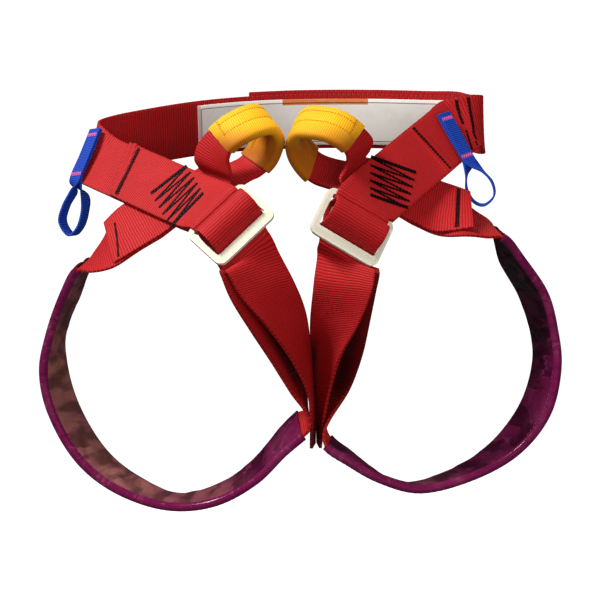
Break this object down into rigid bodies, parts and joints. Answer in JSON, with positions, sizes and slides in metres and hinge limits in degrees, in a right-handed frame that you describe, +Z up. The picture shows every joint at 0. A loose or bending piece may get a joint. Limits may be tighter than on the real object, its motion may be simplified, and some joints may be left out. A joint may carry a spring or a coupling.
{
  "type": "caving harness",
  "caption": "Caving sit harness of crossed webbing with padded leg loops, sleeved attachment loops, frame buckles at the thighs and tape gear loops, in its worn form.",
  "frame": {"origin": "middle of the waist ring, at the height of the front of the hips", "axes": "+Z up as worn, -Y towards the front of the wearer, +X across, to the right as seen from the front"},
  "size_m": [0.3874, 0.1838, 0.3235],
  "materials": {
    "webbing_red": "ribbed woven webbing",
    "label_cloth": "matte coated cloth",
    "tape_yellow": "woven tape",
    "coated_purple": "glossy coated cloth",
    "frame_cream": "satin paint",
    "slider_steel": "satin",
    "tape_blue": "woven tape"
  },
  "bodies": {
    "root": {"belt_left": "webbing_red", "belt_right": "webbing_red", "front_strap_right": "webbing_red", "label": "label_cloth", "leg_strap_left": "webbing_red", "leg_strap_right": "webbing_red", "leg_web_left": "webbing_red", "leg_web_right": "webbing_red", "thigh_strap_left": "webbing_red", "thigh_strap_right": "webbing_red", "loop_sleeve_left": "tape_yellow", "loop_sleeve_right": "tape_yellow", "leg_sleeve_left": "coated_purple", "leg_sleeve_right": "coated_purple", "buckle_frame_left": "frame_cream", "buckle_frame_right": "frame_cream", "buckle_slider_left": "slider_steel", "buckle_slider_right": "slider_steel", "gear_loop_left": "tape_blue", "gear_loop_right": "tape_blue"}
  },
  "joints": []
}
